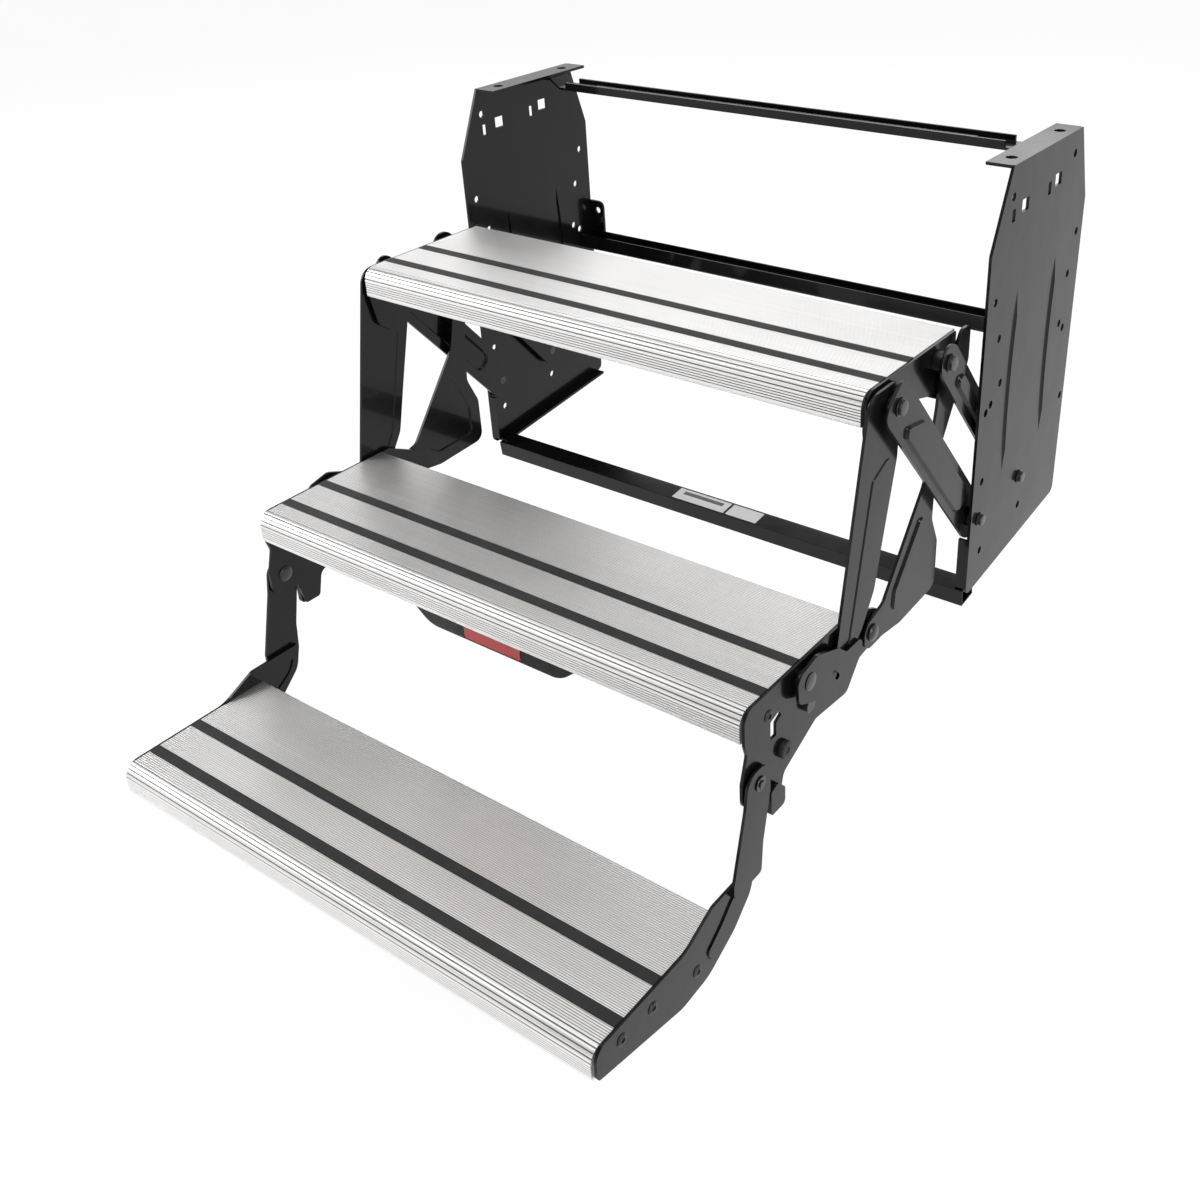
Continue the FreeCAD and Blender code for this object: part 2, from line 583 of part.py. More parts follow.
# ------------------------------------------------------------------ pull handle under the middle tread
HANDLE_FRONT, HANDLE_THICK = -456, 4
HANDLE_TOP = TREAD_MIDDLE[1] - D["tread_wall"]
HANDLE = [(-118, HANDLE_TOP, 0), (-118, -392, 20), (-84, -420, 30), (84, -420, 30),
          (118, -392, 20), (118, HANDLE_TOP, 0)]
HANDLE_GAP = [(-90, -364, 9), (-90, -386, 10), (-70, -399, 14), (70, -399, 14), (90, -386, 10),
              (90, -364, 9)]
handle = new_body("pull_handle")
handle_face = profile(handle, "pull_handle_face", f"{-HANDLE_FRONT}",
                      rounded(HANDLE) + rounded(HANDLE_GAP), "XZ_Plane")
handle_pad = handle.newObject("PartDesign::Pad", "pull_handle_thickness")
handle_pad.Profile = handle_face
handle_pad.Length = HANDLE_THICK
doc.recompute()


# ------------------------------------------------------------------ fasteners, as groups of solids
def turned(name, side, point, steps):
    """A stepped pin along X: each step is (start, end, radius, flats), flats 0 for round."""
    pieces = []
    for number, (start, end, radius, flats) in enumerate(steps):
        kind = "Part::Prism" if flats else "Part::Cylinder"
        piece = doc.addObject(kind, f"{name}_step_{number}")
        piece.Height = end - start
        if flats:
            piece.Polygon = flats
            piece.setExpression("Circumradius", radius)
        else:
            piece.setExpression("Radius", radius)
        turn = Rotation(Vector(0, 1, 0), 90 * side)
        piece.Placement = Placement(Vector(side * start, *point), turn)
        pieces.append(piece)
    if len(pieces) == 1:
        return pieces[0]
    joined = doc.addObject("Part::MultiFuse", name)
    joined.Shapes = pieces
    return joined


def group(label, points, steps):
    """One node of equal pins, a pin at each point on both sides."""
    pins = []
    for side in (1, -1):
        for number, point in enumerate(points):
            word = "right" if side > 0 else "left"
            pins.append(turned(f"{label}_{word}_{number}", side, point, steps))
    node = doc.addObject("Part::Compound", label)
    node.Label = label
    node.Links = pins
    NODES.append(node)


PIN = "dims.pivot_pin"
HEAD = "dims.head_radius"
SMALL_HEAD = "dims.pivot_pin + 2"
BUSH = "dims.pivot_pin + 4.5"
COLLAR = "dims.head_radius + 0.5"
REST_GAP = 0.3

hanger_bolt = [(D["link_inner"], hanger_outer + 5, PIN, 0),
               (hanger_outer + REST_GAP, hanger_outer + 5, SMALL_HEAD, 6),
               (link_outer, D["hanger_inner"] - REST_GAP, BUSH, 0)]
group("front_link_bolts", [FRONT_PIVOT], hanger_bolt)
group("rear_link_bolts", [REAR_PIVOT], hanger_bolt)

eye_bolt = [(D["half_tread"] - 6, D["half_tread"], HEAD, 6),
            (D["half_tread"] - 6, link_outer + 4.5, PIN, 0),
            (link_outer + REST_GAP, link_outer + 4.5, HEAD, 6)]
front_eye = eye_bolt + [(end_plate_outer, leg_inner - REST_GAP, BUSH, 0),
                        (leg_outer + REST_GAP, D["link_inner"] - REST_GAP, BUSH, 0)]
rear_eye = eye_bolt + [(end_plate_outer, D["link_inner"] - REST_GAP, BUSH, 0)]
group("front_eye_bolts", [FRONT_EYE], front_eye)
group("rear_eye_bolts", [REAR_EYE], rear_eye)

group("arm_eye_rivets", [ARM_EYE],
      [(D["half_tread"] - 3, D["half_tread"], HEAD, 0),
       (D["half_tread"] - 3, leg_outer + 2.5, PIN, 0),
       (end_plate_outer, leg_inner - REST_GAP, BUSH, 0),
       (leg_outer + REST_GAP, leg_outer + 2.5, COLLAR, 0)])
group("leg_foot_rivets", [LEG_FOOT],
      [(D["half_tread"] - 3, D["half_tread"], PIN, 0),
       (D["half_tread"] - 3, foot_outer + 1.6, PIN, 0),
       (end_plate_outer, foot_inner - REST_GAP, BUSH, 0),
       (foot_outer + REST_GAP, foot_outer + 1.6, HEAD, 0)])
group("arm_foot_bolts", [ARM_FOOT],
      [(D["half_tread"] - 5, D["half_tread"], HEAD, 6),
       (D["half_tread"] - 5, leg_outer + 4, PIN, 0),
       (end_plate_outer, leg_inner - REST_GAP, BUSH, 0),
       (leg_outer + REST_GAP, leg_outer + 4, HEAD, 0)])
group("step_hinge_rivets", [STEP_HINGE],
      [(D["half_tread"] - 3, D["half_tread"], HEAD, 0),
       (D["half_tread"] - 3, leg_outer + 3.5, PIN, 0),
       (end_plate_outer, leg_inner - REST_GAP, BUSH, 0),
       (leg_outer + REST_GAP, leg_outer + 1.5, SMALL_HEAD, 0),
       (leg_outer + 1.5, leg_outer + 3, "0.7 * dims.pivot_pin", 0)])

screw = [(D["half_tread"] - 10, end_plate_outer + 1.5, SCREW_HOLE, 0),
         (end_plate_outer, end_plate_outer + 1.5, "2 * dims.small_hole", 0)]
bump = [(end_plate_outer, end_plate_outer + 5.5, HEAD, 0)]
STOP_PIN = (-384, -402)
BUMPER = (-422, -426)
group("top_screws", TOP_SCREWS, screw)
group("middle_screws", MIDDLE_SCREWS, screw)
group("bottom_screws", BOTTOM_SCREWS, screw)
group("rubber_bumpers", [BUMPER], bump)
group("leg_stop_pins", [STOP_PIN], [(end_plate_outer, foot_inner - REST_GAP, "7", 0)])

BAR_RIVET_REACH, BAR_RIVET_HIGH = 308, 2
bar_rivets = doc.addObject("Part::Compound", "bar_rivets")
bar_rivets.Label = "bar_rivets"
bar_pieces = []
for side in (1, -1):
    rivet = doc.addObject("Part::Cylinder", f"bar_rivet_{'right' if side > 0 else 'left'}")
    rivet.setExpression("Radius", "2 * dims.small_hole")
    rivet.Height = BAR_RIVET_HIGH
    under = Vector(side * BAR_RIVET_REACH, (BAR_FRONT + BAR_BACK) / 2,
                   -2 * D["gauge"] - BAR_RIVET_HIGH)
    rivet.Placement = Placement(under, Rotation())
    bar_pieces.append(rivet)
bar_rivets.Links = bar_pieces
NODES.append(bar_rivets)


# ------------------------------------------------------------------ blank labels
def label_plate(name, run0, run1, x0, x1, thick):
    """A blank label on top of the bottom cross tube."""
    body = new_body(name)
    section = profile(body, name + "_section", str(x0),
                      sloping_box(run0, 0, run1, thick))
    pad = body.newObject("PartDesign::Pad", name + "_length")
    pad.Profile = section
    pad.Length = x1 - x0
    doc.recompute()


LABEL_THICK = 0.4
LABEL_RUN = (TUBE_RUN + 2, TUBE_RUN + 22)
label_plate("label_wide", *LABEL_RUN, -50, 22, LABEL_THICK)
label_plate("label_narrow", *LABEL_RUN, 25, 66, LABEL_THICK)
handle_label = new_body("handle_label")
handle_label_face = profile(handle_label, "handle_label_face",
                            f"{HANDLE_THICK - HANDLE_FRONT}",
                            rounded([(-36, -417, 2), (36, -417, 2), (36, -402, 2),
                                     (-36, -402, 2)]), "XZ_Plane")
handle_label_pad = handle_label.newObject("PartDesign::Pad", "handle_label_thickness")
handle_label_pad.Profile = handle_label_face
handle_label_pad.Length = LABEL_THICK

# ------------------------------------------------------------------ check and write
doc.recompute()
for thing in doc.Objects:
    if "Invalid" in thing.State or "Error" in thing.State:
        raise RuntimeError(f"{thing.Label} is {thing.State}")
for node in NODES:
    if node.Shape.isNull() or not node.Shape.isValid():
        raise RuntimeError(f"{node.Label} has no valid shape")
    node.Shape.exportStep(f"parts/{node.Label}.step")
print(len(NODES), "nodes written")
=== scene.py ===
# Looks of the folding entry step: materials, ribbed treads, fasteners, light and camera.
import json
import math

import bmesh
import bpy
from mathutils import Matrix, Quaternion, Vector


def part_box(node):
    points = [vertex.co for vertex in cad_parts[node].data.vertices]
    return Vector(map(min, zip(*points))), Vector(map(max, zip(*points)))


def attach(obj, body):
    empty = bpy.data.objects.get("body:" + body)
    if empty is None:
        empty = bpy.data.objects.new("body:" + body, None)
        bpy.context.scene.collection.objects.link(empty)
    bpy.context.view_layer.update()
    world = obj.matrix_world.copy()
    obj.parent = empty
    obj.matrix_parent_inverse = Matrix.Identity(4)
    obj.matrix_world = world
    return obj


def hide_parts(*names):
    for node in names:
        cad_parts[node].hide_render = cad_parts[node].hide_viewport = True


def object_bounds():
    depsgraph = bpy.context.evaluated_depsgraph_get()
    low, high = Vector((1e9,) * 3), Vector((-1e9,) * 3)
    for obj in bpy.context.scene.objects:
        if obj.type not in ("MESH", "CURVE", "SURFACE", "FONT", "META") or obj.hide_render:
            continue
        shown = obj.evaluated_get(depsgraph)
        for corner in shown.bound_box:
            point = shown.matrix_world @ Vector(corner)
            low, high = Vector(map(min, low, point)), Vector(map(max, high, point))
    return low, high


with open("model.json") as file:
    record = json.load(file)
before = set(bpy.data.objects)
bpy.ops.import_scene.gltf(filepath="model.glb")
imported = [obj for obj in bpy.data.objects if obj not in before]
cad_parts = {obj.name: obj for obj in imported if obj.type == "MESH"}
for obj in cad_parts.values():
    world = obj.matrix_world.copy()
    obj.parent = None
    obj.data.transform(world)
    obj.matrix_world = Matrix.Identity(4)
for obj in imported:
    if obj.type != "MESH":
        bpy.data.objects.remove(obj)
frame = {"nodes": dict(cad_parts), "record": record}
cad_box = [list(corner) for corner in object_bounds()]
NODES = frame["nodes"]
BODIES = frame["record"]["behaviour"]["bodies"]
BODY_OF = {node: body for body, nodes in BODIES.items() for node in nodes}
MM = 0.001      # metres; the frame is in metres, and the lists below are in mm


# ------------------------------------------------------------------ materials
def set_range(node, start, end, low, high):
    """Map Range from the span start to end into low to high."""
    for number, setting in enumerate((start, end, low, high), start=1):
        node.inputs[number].default_value = setting


class Look:
    """A material and short ways to add its nodes."""

    def __init__(self, name, **settings):
        self.material = bpy.data.materials.new(name)
        self.material.use_nodes = True
        self.tree = self.material.node_tree
        self.shader = self.tree.nodes["Principled BSDF"]
        for socket, value in settings.items():
            self.shader.inputs[socket.replace("_", " ")].default_value = value

    def add(self, kind, **inputs):
        node = self.tree.nodes.new(kind)
        for socket, value in inputs.items():
            self.feed(node.inputs[socket.replace("_", " ")], value)
        return node

    def feed(self, socket, value):
        if isinstance(value, bpy.types.NodeSocket):
            self.tree.links.new(value, socket)
        else:
            socket.default_value = value

    def where(self, scale=(1, 1, 1)):
        """The object's own coordinates in metres, stretched by scale."""
        place = self.add("ShaderNodeTexCoord").outputs["Object"]
        return self.add("ShaderNodeMapping", Vector=place, Scale=scale).outputs["Vector"]

    def noise(self, scale, detail=3.0, stretch=(1, 1, 1), roughness=0.5):
        return self.add("ShaderNodeTexNoise", Vector=self.where(stretch), Scale=scale,
                        Detail=detail, Roughness=roughness).outputs["Fac"]

    def spread(self, value, low, high, start=0.3, end=0.7):
        """The value moved from the span start to end into low to high."""
        node = self.add("ShaderNodeMapRange", Value=value)
        set_range(node, start, end, low, high)
        return node.outputs["Result"]

    def math(self, way, first, second):
        node = self.tree.nodes.new("ShaderNodeMath")
        node.operation = way
        self.feed(node.inputs[0], first)
        self.feed(node.inputs[1], second)
        return node.outputs[0]

    def blend(self, share, first, second):
        node = self.tree.nodes.new("ShaderNodeMix")
        node.data_type = "RGBA"
        self.feed(node.inputs[0], share)
        self.feed(node.inputs[6], first)
        self.feed(node.inputs[7], second)
        return node.outputs[2]

    def bump(self, height, strength, distance, under=None):
        node = self.add("ShaderNodeBump", Height=height, Strength=strength, Distance=distance)
        if under is not None:
            self.feed(node.inputs["Normal"], under)
        return node.outputs["Normal"]

    def set(self, **links):
        for socket, value in links.items():
            self.feed(self.shader.inputs[socket.replace("_", " ")], value)
        return self.material


def grey(value, warmth=0.0):
    return (value * (1 + warmth), value, value * (1 - warmth), 1)


def black_coat():
    look = Look("black_powder_coat", Coat_Weight=0.28, Coat_Roughness=0.06,
                Specular_IOR_Level=0.12)
    cloud = look.noise(14, 4)
    peel = look.noise(700, 2)
    sag = look.noise(18, 2)
    dust = look.noise(160, 6, roughness=0.7)
    colour = look.blend(look.spread(cloud, 0, 1), grey(0.003), grey(0.006))
    colour = look.blend(look.spread(dust, 0, 0.012, 0.55, 0.8), colour, grey(0.20, 0.05))
    normal = look.bump(sag, 0.5, 0.0012)
    normal = look.bump(peel, 0.10, 0.0001, normal)
    return look.set(Base_Color=colour, Roughness=look.spread(cloud, 0.18, 0.28), Normal=normal)


def tread_metal():
    look = Look("tread_aluminium", Metallic=1.0)
    grain = look.noise(60, 3, (0.04, 22, 22), 0.6)
    cloud = look.noise(9, 4)
    speck = look.noise(900, 3)
    groove = look.tree.nodes.new("ShaderNodeAttribute")
    groove.attribute_name = "groove"
    colour = look.blend(look.spread(grain, 0, 1), grey(0.80, 0.01), grey(0.90, 0.01))
    colour = look.blend(look.spread(cloud, 0, 0.35), colour, grey(0.82, 0.02))
    # Painted shade: the groove bottoms are darkened towards grey 0.10 by the groove share stored
    # on the tread mesh.
    colour = look.blend(look.spread(groove.outputs["Fac"], 0, 0.82, 0, 1), colour, grey(0.10))
    normal = look.bump(grain, 0.08, 0.00008)
    normal = look.bump(speck, 0.05, 0.00005, normal)
    return look.set(Base_Color=colour, Roughness=look.spread(cloud, 0.34, 0.46), Normal=normal)


def grip_vinyl():
    look = Look("grip_rubber", Specular_IOR_Level=0.4)
    cell = look.add("ShaderNodeTexVoronoi", Vector=look.where(), Scale=1100.0).outputs["Distance"]
    cloud = look.noise(30, 4)
    scuff = look.noise(120, 5, (0.2, 1, 1), 0.7)
    colour = look.blend(look.spread(cloud, 0, 1), grey(0.010), grey(0.020))
    colour = look.blend(look.spread(scuff, 0, 0.25, 0.58, 0.8), colour, grey(0.09))
    return look.set(Base_Color=colour, Roughness=look.spread(scuff, 0.48, 0.64),
                    Normal=look.bump(cell, 0.35, 0.0002))


def fastener_metal():
    look = Look("black_fastener", Metallic=0.35, Coat_Weight=0.3, Coat_Roughness=0.15)
    cloud = look.noise(180, 4)
    colour = look.blend(look.spread(cloud, 0, 1), grey(0.010), grey(0.030))
    return look.set(Base_Color=colour, Roughness=look.spread(cloud, 0.26, 0.42),
                    Normal=look.bump(look.noise(900), 0.15, 0.0001))


def screw_metal():
    look = Look("zinc_fastener", Metallic=0.6)
    cloud = look.noise(260, 4)
    colour = look.blend(look.spread(cloud, 0, 1), grey(0.016), grey(0.045))
    return look.set(Base_Color=colour, Roughness=look.spread(cloud, 0.30, 0.46),
                    Normal=look.bump(look.noise(1100), 0.15, 0.0001))


def label_vinyl(name, paper, band, **spans):
    """A plain label with one plain band of another colour, within spans along named axes."""
    look = Look(name, Coat_Weight=0.3, Coat_Roughness=0.2)
    place = look.add("ShaderNodeSeparateXYZ", Vector=look.where())
    share = 1.0
    for axis, (low, high) in spans.items():
        share = look.math("MULTIPLY", share, look.math("GREATER_THAN", place.outputs[axis], low))
        share = look.math("MULTIPLY", share, look.math("LESS_THAN", place.outputs[axis], high))
    fibre = look.noise(400, 4)
    colour = look.blend(share, paper, band)
    colour = look.blend(look.spread(fibre, 0, 0.08), colour, grey(0.3))
    return look.set(Base_Color=colour, Roughness=look.spread(fibre, 0.30, 0.42),
                    Normal=look.bump(fibre, 0.08, 0.0001))


COAT, METAL, GRIP = black_coat(), tread_metal(), grip_vinyl()
BOLT, SCREW = fastener_metal(), screw_metal()
RED_PAPER = (0.46, 0.010, 0.012, 1)
# The spans in metres where the plain band of each label lies.
LABEL = label_vinyl("blank_label", grey(0.82), grey(0.02), X=(-0.041, 0.014), Y=(-0.096, -0.090))
RED = label_vinyl("handle_label", RED_PAPER, grey(0.8), Z=(-0.4045, -0.4030))
SLOT_LOOK = {"black_powder_coat": COAT, "tread_aluminium": METAL, "grip_rubber": GRIP,
             "black_fastener": BOLT, "zinc_fastener": SCREW, "blank_label": LABEL,
             "handle_label": RED}
SLOT_OF = {row["node"]: row["material_slot"] for row in frame["record"]["subparts"]}


def dress(piece, material):
    if piece.data.materials:
        for number in range(len(piece.data.materials)):
            piece.data.materials[number] = material
    else:
        piece.data.materials.append(material)


EDGE = {"hanger": 0.7, "pull": 1.2, "rubber": 1.2, "bottom": 0.7}   # mm, by first word
PLAIN_EDGE = 0.6
BEVEL_FROM, SHARP_FROM = math.radians(40), math.radians(32)
SAME_POINT = 1e-6
for node, piece in NODES.items():
    dress(piece, SLOT_LOOK[SLOT_OF[node]])
    weld = piece.modifiers.new("weld", "WELD")
    weld.merge_threshold = SAME_POINT
    soften = piece.modifiers.new("edges", "BEVEL")
    soften.width = EDGE.get(node.split("_")[0], PLAIN_EDGE) * MM
    soften.segments = 2
    soften.limit_method = "ANGLE"
    soften.angle_limit = BEVEL_FROM
    soften.use_clamp_overlap = True
    soften.harden_normals = True


# ------------------------------------------------------------------ new pieces
def new_object(name, mesh_edit, material):
    work = bmesh.new()
    mesh_edit(work)
    mesh = bpy.data.meshes.new(name)
    work.to_mesh(mesh)
    work.free()
    piece = bpy.data.objects.new(name, mesh)
    bpy.context.scene.collection.objects.link(piece)
    mesh.materials.append(material)
    return piece


def make(name, mesh_edit, node):
    """A mesh piece in place of a CAD node, on the same body and with the same slot."""
    def closed_edit(work):
        mesh_edit(work)
        bmesh.ops.recalc_face_normals(work, faces=work.faces)

    slot = SLOT_OF[node]
    piece = new_object(name, closed_edit, SLOT_LOOK[slot])
    for face in piece.data.polygons:
        face.use_smooth = True
    piece.data.set_sharp_from_angle(angle=SHARP_FROM)
    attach(piece, BODY_OF[node])
    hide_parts(node)


def join(work, rings):
    """Quads between rings of equal length, closed at both ends."""
    for first, second in zip(rings, rings[1:]):
        for i in range(len(first)):
            j = (i + 1) % len(first)
            work.faces.new((first[i], first[j], second[j], second[i]))
    work.faces.new(rings[0])
    work.faces.new(list(reversed(rings[-1])))
    return rings


def loft(work, section, xs):
    """Copies of a (y, z) section at each x, joined."""
    return join(work, [[work.verts.new((x, y, z)) for y, z in section] for x in xs])


# The tread's outer skin, followed from its back edge: distances in mm.
NOSE, DEEP, LONG = 14.0, 31.0, 172.0
FLAT_END = LONG - NOSE
REAR_STRIP, FRONT_STRIP = (80.0, 92.2), (129.3, 141.5)
FIRST_RIB = 1.2
STRIP_DEPTH = 2.0
# Each run of ribs: start, end, number of ribs and groove depth.
RIBS = ((FIRST_RIB, REAR_STRIP[0], 36, 0.75), (REAR_STRIP[1], FRONT_STRIP[0], 17, 0.75),
        (FRONT_STRIP[1], FLAT_END, 7, 0.8), (FLAT_END, 180.0, 5, 1.15), (180.0, 193.0, 5, 0.9))
# One rib: share of the pitch and share of the groove depth there.
GROOVE = ((0.10, 0), (0.16, 0.1), (0.24, 1), (0.36, 1), (0.44, 0.1), (0.52, 0))
CROWN_AT, CROWN_DROP = 0.8, -0.02
WEBS = (-108, -66)      # the screw channels under the top wall
UNDER_NOSE, UNDER_NOSE_STEPS = 10, 8


def skin(distance, depth):
    """The point a distance along the skin and a depth below it, from the back top edge."""
    arc = NOSE * math.pi / 2
    if distance <= FLAT_END:
        return -distance, -depth
    if distance <= FLAT_END + arc:
        turn = (distance - FLAT_END) / NOSE
        reach = NOSE - depth
        return -FLAT_END - reach * math.sin(turn), -NOSE + reach * math.cos(turn)
    return -LONG + depth, -NOSE - (distance - FLAT_END - arc)


def tread_section():
    """The closed outline of the extrusion as (y, z, groove share) in mm."""
    points = [(0, -1.0, 0), (-0.4, -0.3, 0), (-FIRST_RIB, 0, 0)]
    place = FIRST_RIB
    for start, end, count, deep in RIBS:
        if start > place:
            points += [(-place, 0, 0), (-place, -STRIP_DEPTH, 0), (-start, -STRIP_DEPTH, 0),
                       (-start, 0, 0)]
        pitch = (end - start) / count
        for rib in range(count):
            at = start + rib * pitch
            for share, drop in GROOVE:
                points.append((*skin(at + share * pitch, drop * deep), drop))
            points.append((*skin(at + CROWN_AT * pitch, CROWN_DROP * deep), 0))
        place = end
    points += [(-LONG, -28.5, 0), (-LONG + 0.3, -29.8, 0), (-LONG + 1.4, -30.8, 0),
               (-LONG + 3, -DEEP, 0), (-LONG + 13.4, -DEEP, 0), (-LONG + 14, -30.4, 0),
               (-LONG + 14, -28.6, 0), (-LONG + 13.4, -28, 0), (-LONG + 4, -28, 0)]
    for step in range(UNDER_NOSE_STEPS + 1):
        turn = math.radians(90 - step * 90 / UNDER_NOSE_STEPS)
        points.append((-FLAT_END - UNDER_NOSE * math.sin(turn),
                       -NOSE + UNDER_NOSE * math.cos(turn), 0))
    for web in WEBS:
        points += [(web - 2.4, -4, 0), (web - 1.2, -5.2, 0), (web - 1.2, -13.6, 0),
                   (web - 0.8, -14, 0), (web + 0.8, -14, 0), (web + 1.2, -13.6, 0),
                   (web + 1.2, -5.2, 0), (web + 2.4, -4, 0)]
    points += [(-5, -4, 0), (-4, -5, 0), (-4, -22, 0), (-13.6, -22, 0), (-14, -22.4, 0),
               (-14, -24.6, 0), (-13.6, -25, 0), (-1.5, -25, 0), (-0.4, -24.6, 0),
               (0, -23.5, 0)]
    return points


def ribbed_tread(step):
    node = f"tread_{step}"
    low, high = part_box(node)
    outline = tread_section()
    section = [(high[1] + y * MM, high[2] + z * MM) for y, z, _ in outline]

    def build(work):
        # The groove share on each point also drives the painted shade in the groove bottoms of
        # the tread material.
        mark = work.verts.layers.float.new("groove")
        for ring in loft(work, section, [low[0], 0.5 * (low[0] + high[0]), high[0]]):
            for vertex, (_, _, share) in zip(ring, outline):
                vertex[mark] = share

    make(f"ribbed_tread_{step}", build, node)


GRIP_RIBS = 6
GRIP_MARGIN = 0.05      # share of the width left plain at each side
SHOULDER, SHOULDER_DROP = 0.2 * MM, 0.7 * MM
# One grip rib: share of the pitch and mm below the top there.
GRIP_RIB = ((0.0, 0.28), (0.2, 0.28), (0.34, 0.04), (0.5, 0.0), (0.84, 0.04))


def grip_insert(step, place):
    """A vinyl insert with low lengthwise ribs and rounded shoulders."""
    node = f"grip_strip_{step}_{place}"
    low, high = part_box(node)
    wide = high[1] - low[1]
    section = [(low[1], low[2]), (low[1], high[2] - SHOULDER_DROP),
               (low[1] + SHOULDER, high[2] - SHOULDER)]
    pitch = wide * (1 - 2 * GRIP_MARGIN) / GRIP_RIBS
    for rib in range(GRIP_RIBS):
        start = low[1] + wide * GRIP_MARGIN + rib * pitch
        for share, drop in GRIP_RIB:
            section.append((start + share * pitch, high[2] - drop * MM))
    section += [(high[1] - SHOULDER, high[2] - SHOULDER), (high[1], high[2] - SHOULDER_DROP),
                (high[1], low[2])]
    make(f"grip_insert_{step}_{place}", lambda work: loft(work, section, [low[0], high[0]]),
         node)


for step in ("top", "middle", "bottom"):
    ribbed_tread(step)
    for place in ("rear", "front"):
        grip_insert(step, place)


# ------------------------------------------------------------------ fasteners
AROUND = 36         # points round a turned shape
PIN = 5             # mm, radius of a shank
SIXTH = math.pi / 3


def pins(node):
    """The side, y and z of each pin's axis in a CAD group of pins."""
    piece = NODES[node]
    work = bmesh.new()
    work.from_mesh(piece.data)
    bmesh.ops.remove_doubles(work, verts=work.verts, dist=SAME_POINT)
    loose, found = set(work.verts), []
    while loose:
        island, front = [], [loose.pop()]
        while front:
            vertex = front.pop()
            island.append(piece.matrix_world @ vertex.co)
            near = {edge.other_vert(vertex) for edge in vertex.link_edges} & loose
            loose -= near
            front += near
        x, y, z = ((min(axis) + max(axis)) / 2 for axis in zip(*island))
        found.append((math.copysign(1, x), y, z))
    work.free()
    return sorted(found)


def turn_pin(work, side, y, z, rows):
    """Rings about an X axis, each (mm from the middle, radius, distance to flats or 0)."""
    rings = []
    for reach, radius, flats in rows:
        ring = []
        for number in range(AROUND):
            turn = math.tau * number / AROUND
            size = radius
            if flats:
                corner = (turn + SIXTH / 2) % SIXTH - SIXTH / 2
                size = min(radius, flats / math.cos(corner))
            ring.append(work.verts.new((side * reach * MM, y + size * MM * math.cos(turn),
                                        z + size * MM * math.sin(turn))))
        rings.append(ring)
    join(work, rings)


def hex_head(face, washer, flats, high):
    """A washer and a chamfered hexagon that stand outwards from a face."""
    corner, top = flats / math.cos(SIXTH / 2), face + high
    return [(face, washer - 0.3, 0), (face + 0.2, washer, 0), (face + 0.9, washer, 0),
            (face + 1.1, washer - 0.3, 0), (face + 1.1, corner, flats),
            (top - 0.8, corner, flats), (top - 0.1, flats, flats), (top, flats - 0.5, 0)]


def dome(face, radius, high):
    """A low round head that stands outwards from a face."""
    return [(face, radius, 0), (face + 0.3 * high, radius, 0),
            (face + 0.6 * high, 0.88 * radius, 0), (face + 0.85 * high, 0.6 * radius, 0),
            (face + high, 0.25 * radius, 0)]


def inward(rows, face):
    """Rows of an outward head turned round to stand inwards from a face."""
    start = rows[0][0]
    return [(face - (reach - start), radius, flats) for reach, radius, flats in reversed(rows)]


def bush(start, end, radius=9.5):
    """A round spacer between two faces, with small chamfers."""
    return [(start, PIN, 0), (start, radius - 0.3, 0), (start + 0.3, radius, 0),
            (end - 0.3, radius, 0), (end, radius - 0.3, 0), (end, PIN, 0)]


# Where things sit, in mm from the middle of the step: the inner and outer faces of the end
# plates, then where a head sits on a leg or arm, on a leg's foot, on a link and on the hanger.
PLATE_IN, PLATE_OUT = 300, 303
ARM_SEAT, FOOT_SEAT, LINK_SEAT, HANGER_SEAT = 308.3, 312.3, 317.3, 326.3
PLATE_BUSH_END, LINK_BUSH_END = 304.7, 313.7
# Rows of (mm from the middle, radius, distance to flats or 0), from the inner end outwards.
HIDDEN_END = [(314.2, PIN - 0.1, 0)]
INNER_BOLT = inward(hex_head(0, 8.5, 6.8, 6), PLATE_IN)
INNER_RIVET = inward(dome(0, 8.5, 3), PLATE_IN)
PLATE_BUSH = bush(PLATE_OUT, PLATE_BUSH_END)
HANGER_BOLT = (HIDDEN_END + bush(317.2, 322.7) + [(HANGER_SEAT, PIN, 0)]
               + hex_head(HANGER_SEAT, 7, 5.6, 4.7))
ARM_SHANK = [(ARM_SEAT, PIN, 0)]
EYE_END = [(LINK_SEAT, PIN, 0)] + hex_head(LINK_SEAT, 8.5, 6.8, 4.2)
SCREW_HEAD = [(290, 2.9, 0), (PLATE_OUT, 3, 0), (PLATE_OUT, 6, 0), (303.4, 6, 0), (304.1, 5.1, 0),
              (304.5, 3.8, 0), (304.5, 2.8, 2.4), (303.5, 2.7, 2.3), (303.4, 0.4, 0)]
RIVET_RING = [(ARM_SEAT, PIN, 0), (ARM_SEAT, 6.7, 0), (308.6, 7, 0), (309.2, 7, 0),
              (309.5, 6.6, 0), (309.5, 4.9, 0), (309.1, 4.5, 0), (309.1, 3.6, 0),
              (310.6, 3.5, 0), (311, 3, 0)]
RUBBER = [(PLATE_OUT, 8.2, 0), (303.4, 8.5, 0), (306.6, 8.5, 0), (307.8, 7.9, 0), (308.5, 6.5, 0),
          (308.5, 3.2, 0), (307.6, 2.8, 0), (307.4, 0.5, 0)]
STOP_PIN = [(PLATE_OUT, 6.8, 0), (303.3, 7, 0), (308.2, 7, 0), (308.7, 6.5, 0)]
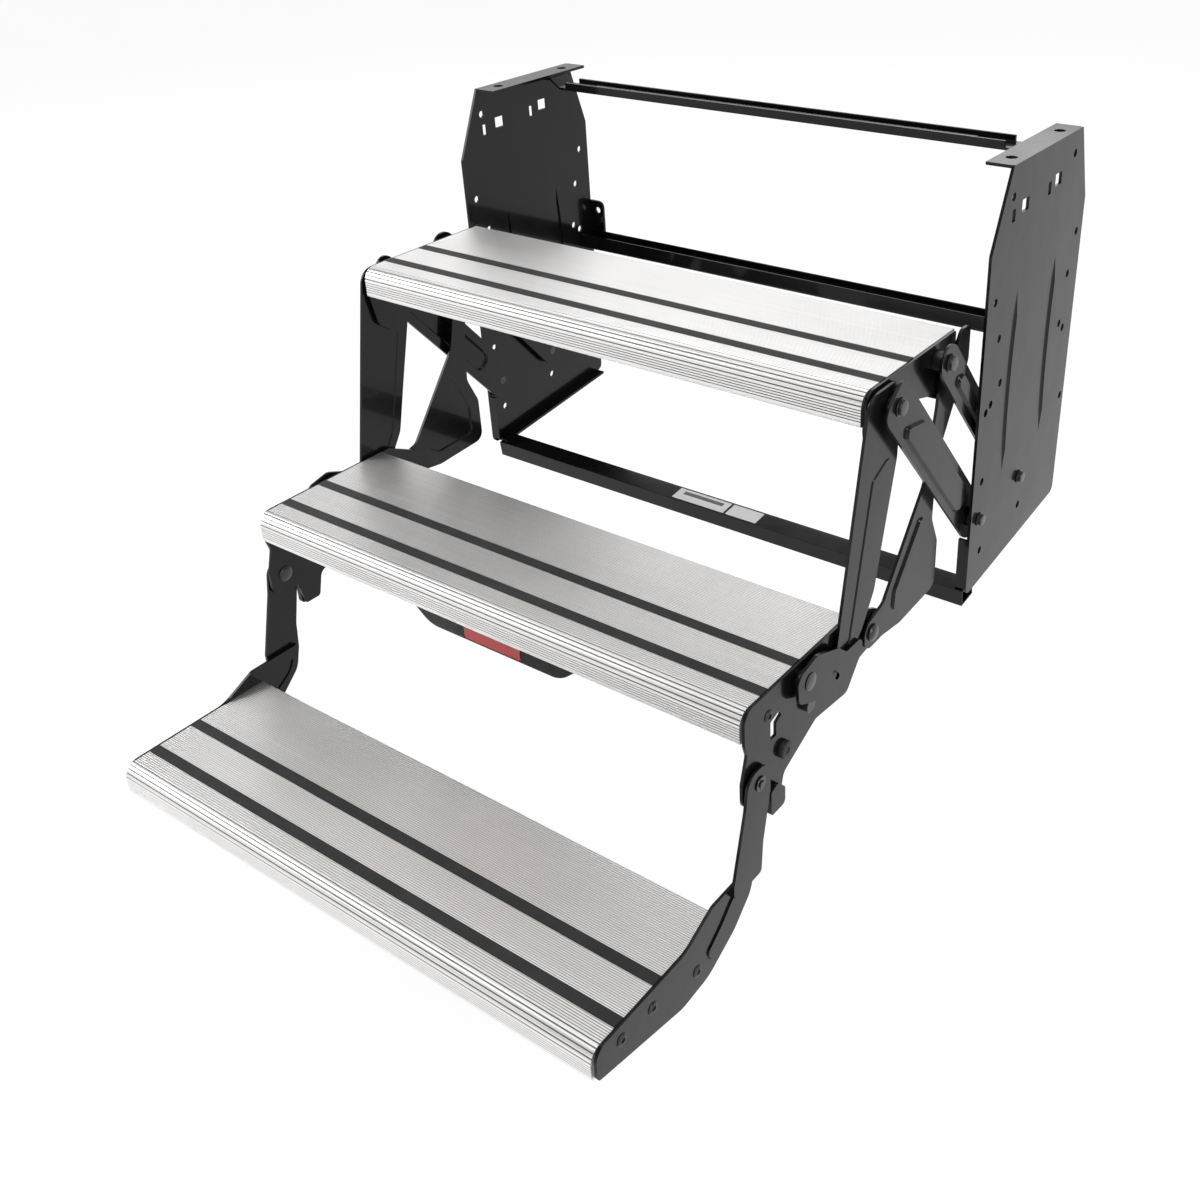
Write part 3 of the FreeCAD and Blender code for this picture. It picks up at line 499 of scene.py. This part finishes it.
PIN_ROWS = {
    "front_link_bolts": HANGER_BOLT,
    "rear_link_bolts": HANGER_BOLT,
    "front_eye_bolts": INNER_BOLT + PLATE_BUSH + bush(ARM_SEAT, LINK_BUSH_END) + EYE_END,
    "rear_eye_bolts": INNER_BOLT + bush(PLATE_OUT, LINK_BUSH_END) + EYE_END,
    "arm_eye_rivets": INNER_RIVET + PLATE_BUSH + ARM_SHANK + dome(ARM_SEAT, 9, 2.2),
    "leg_foot_rivets": bush(297, 308.7) + [(FOOT_SEAT, PIN, 0)] + dome(FOOT_SEAT, 8.5, 1.3),
    "arm_foot_bolts": INNER_BOLT + PLATE_BUSH + ARM_SHANK + dome(ARM_SEAT, 8.5, 3.7),
    "step_hinge_rivets": INNER_RIVET + PLATE_BUSH + RIVET_RING,
    "top_screws": SCREW_HEAD,
    "middle_screws": SCREW_HEAD,
    "bottom_screws": SCREW_HEAD,
    "rubber_bumpers": RUBBER,
    "leg_stop_pins": STOP_PIN,
}


def turned(node, rows):
    """Turned pins in place of a CAD group of them."""
    def build(work):
        for side, y, z in pins(node):
            turn_pin(work, side, y, z, rows)

    make(f"turned_{node}", build, node)


for node, rows in PIN_ROWS.items():
    turned(node, rows)


# ------------------------------------------------------------------ stage, light and camera
def floor_look():
    look = Look("floor", Specular_IOR_Level=0.2)
    look.set(Emission_Color=(1, 1, 1, 1), Emission_Strength=0.88)
    return look.set(Base_Color=look.blend(look.noise(3), grey(0.14), grey(0.16)), Roughness=0.9)


FLOOR_GAP = 0.142       # below the lowest point, one rise under the bottom tread
FLOOR_RADIUS, FLOOR_SIDES = 45, 96


def floor_edit(work):
    level = Matrix.Translation((0, 0, cad_box[0][2] - FLOOR_GAP))
    bmesh.ops.create_circle(work, cap_ends=True, segments=FLOOR_SIDES, radius=FLOOR_RADIUS,
                            matrix=level)


new_object("floor", floor_edit, floor_look())

world = bpy.data.worlds.new("studio")
bpy.context.scene.world = world
world.use_nodes = True
nodes, links = world.node_tree.nodes, world.node_tree.links
sky, rise, fade = (nodes["Background"], nodes.new("ShaderNodeSeparateXYZ"),
                   nodes.new("ShaderNodeMapRange"))
sky.inputs["Color"].default_value = (1, 1, 1, 1)
links.new(nodes.new("ShaderNodeTexCoord").outputs["Generated"], rise.inputs["Vector"])
links.new(rise.outputs["Z"], fade.inputs["Value"])
set_range(fade, 0.0, 0.35, 0.95, 0.45)      # brighter at the horizon than overhead
links.new(fade.outputs["Result"], sky.inputs["Strength"])


def softbox(name, place, target, size, power):
    lamp = bpy.data.lights.new(name, "AREA")
    lamp.shape = "RECTANGLE"
    lamp.size, lamp.size_y = size
    lamp.energy = power
    piece = bpy.data.objects.new(name, lamp)
    piece.location = place
    aim = Vector(target) - Vector(place)
    piece.rotation_mode = "QUATERNION"
    piece.rotation_quaternion = aim.to_track_quat("-Z", "Y")
    bpy.context.scene.collection.objects.link(piece)


MIDDLE = (0, -0.3, -0.3)
softbox("overhead", (0.3, -0.4, 2.6), MIDDLE, (3.2, 3.2), 30)
softbox("left", (-2.6, -1.6, 1.2), MIDDLE, (1.2, 2.0), 45)
softbox("back", (-1.7, 2.3, 1.8), MIDDLE, (2.6, 2.2), 30)
softbox("right", (2.8, -0.6, 0.8), MIDDLE, (0.8, 2.2), 34)

AZIMUTH, ELEVATION, ROLL = (math.radians(angle) for angle in (36.4, 29.1, -1.9))
cam = bpy.data.cameras.new("camera")
cam.sensor_width = 36
cam.lens = 40.4
cam.shift_x, cam.shift_y = -0.083, -0.083
camera = bpy.data.objects.new("camera", cam)
camera.location = (0.790, -1.191, 0.326)
back = Vector((math.sin(AZIMUTH) * math.cos(ELEVATION), -math.cos(AZIMUTH) * math.cos(ELEVATION),
               math.sin(ELEVATION)))
camera.rotation_mode = "QUATERNION"
camera.rotation_quaternion = (-back).to_track_quat("-Z", "Y") @ Quaternion((0, 0, 1), ROLL)
cam.clip_end = 200
bpy.context.scene.collection.objects.link(camera)
bpy.context.scene.camera = camera
bpy.context.scene.view_settings.view_transform = "Standard"
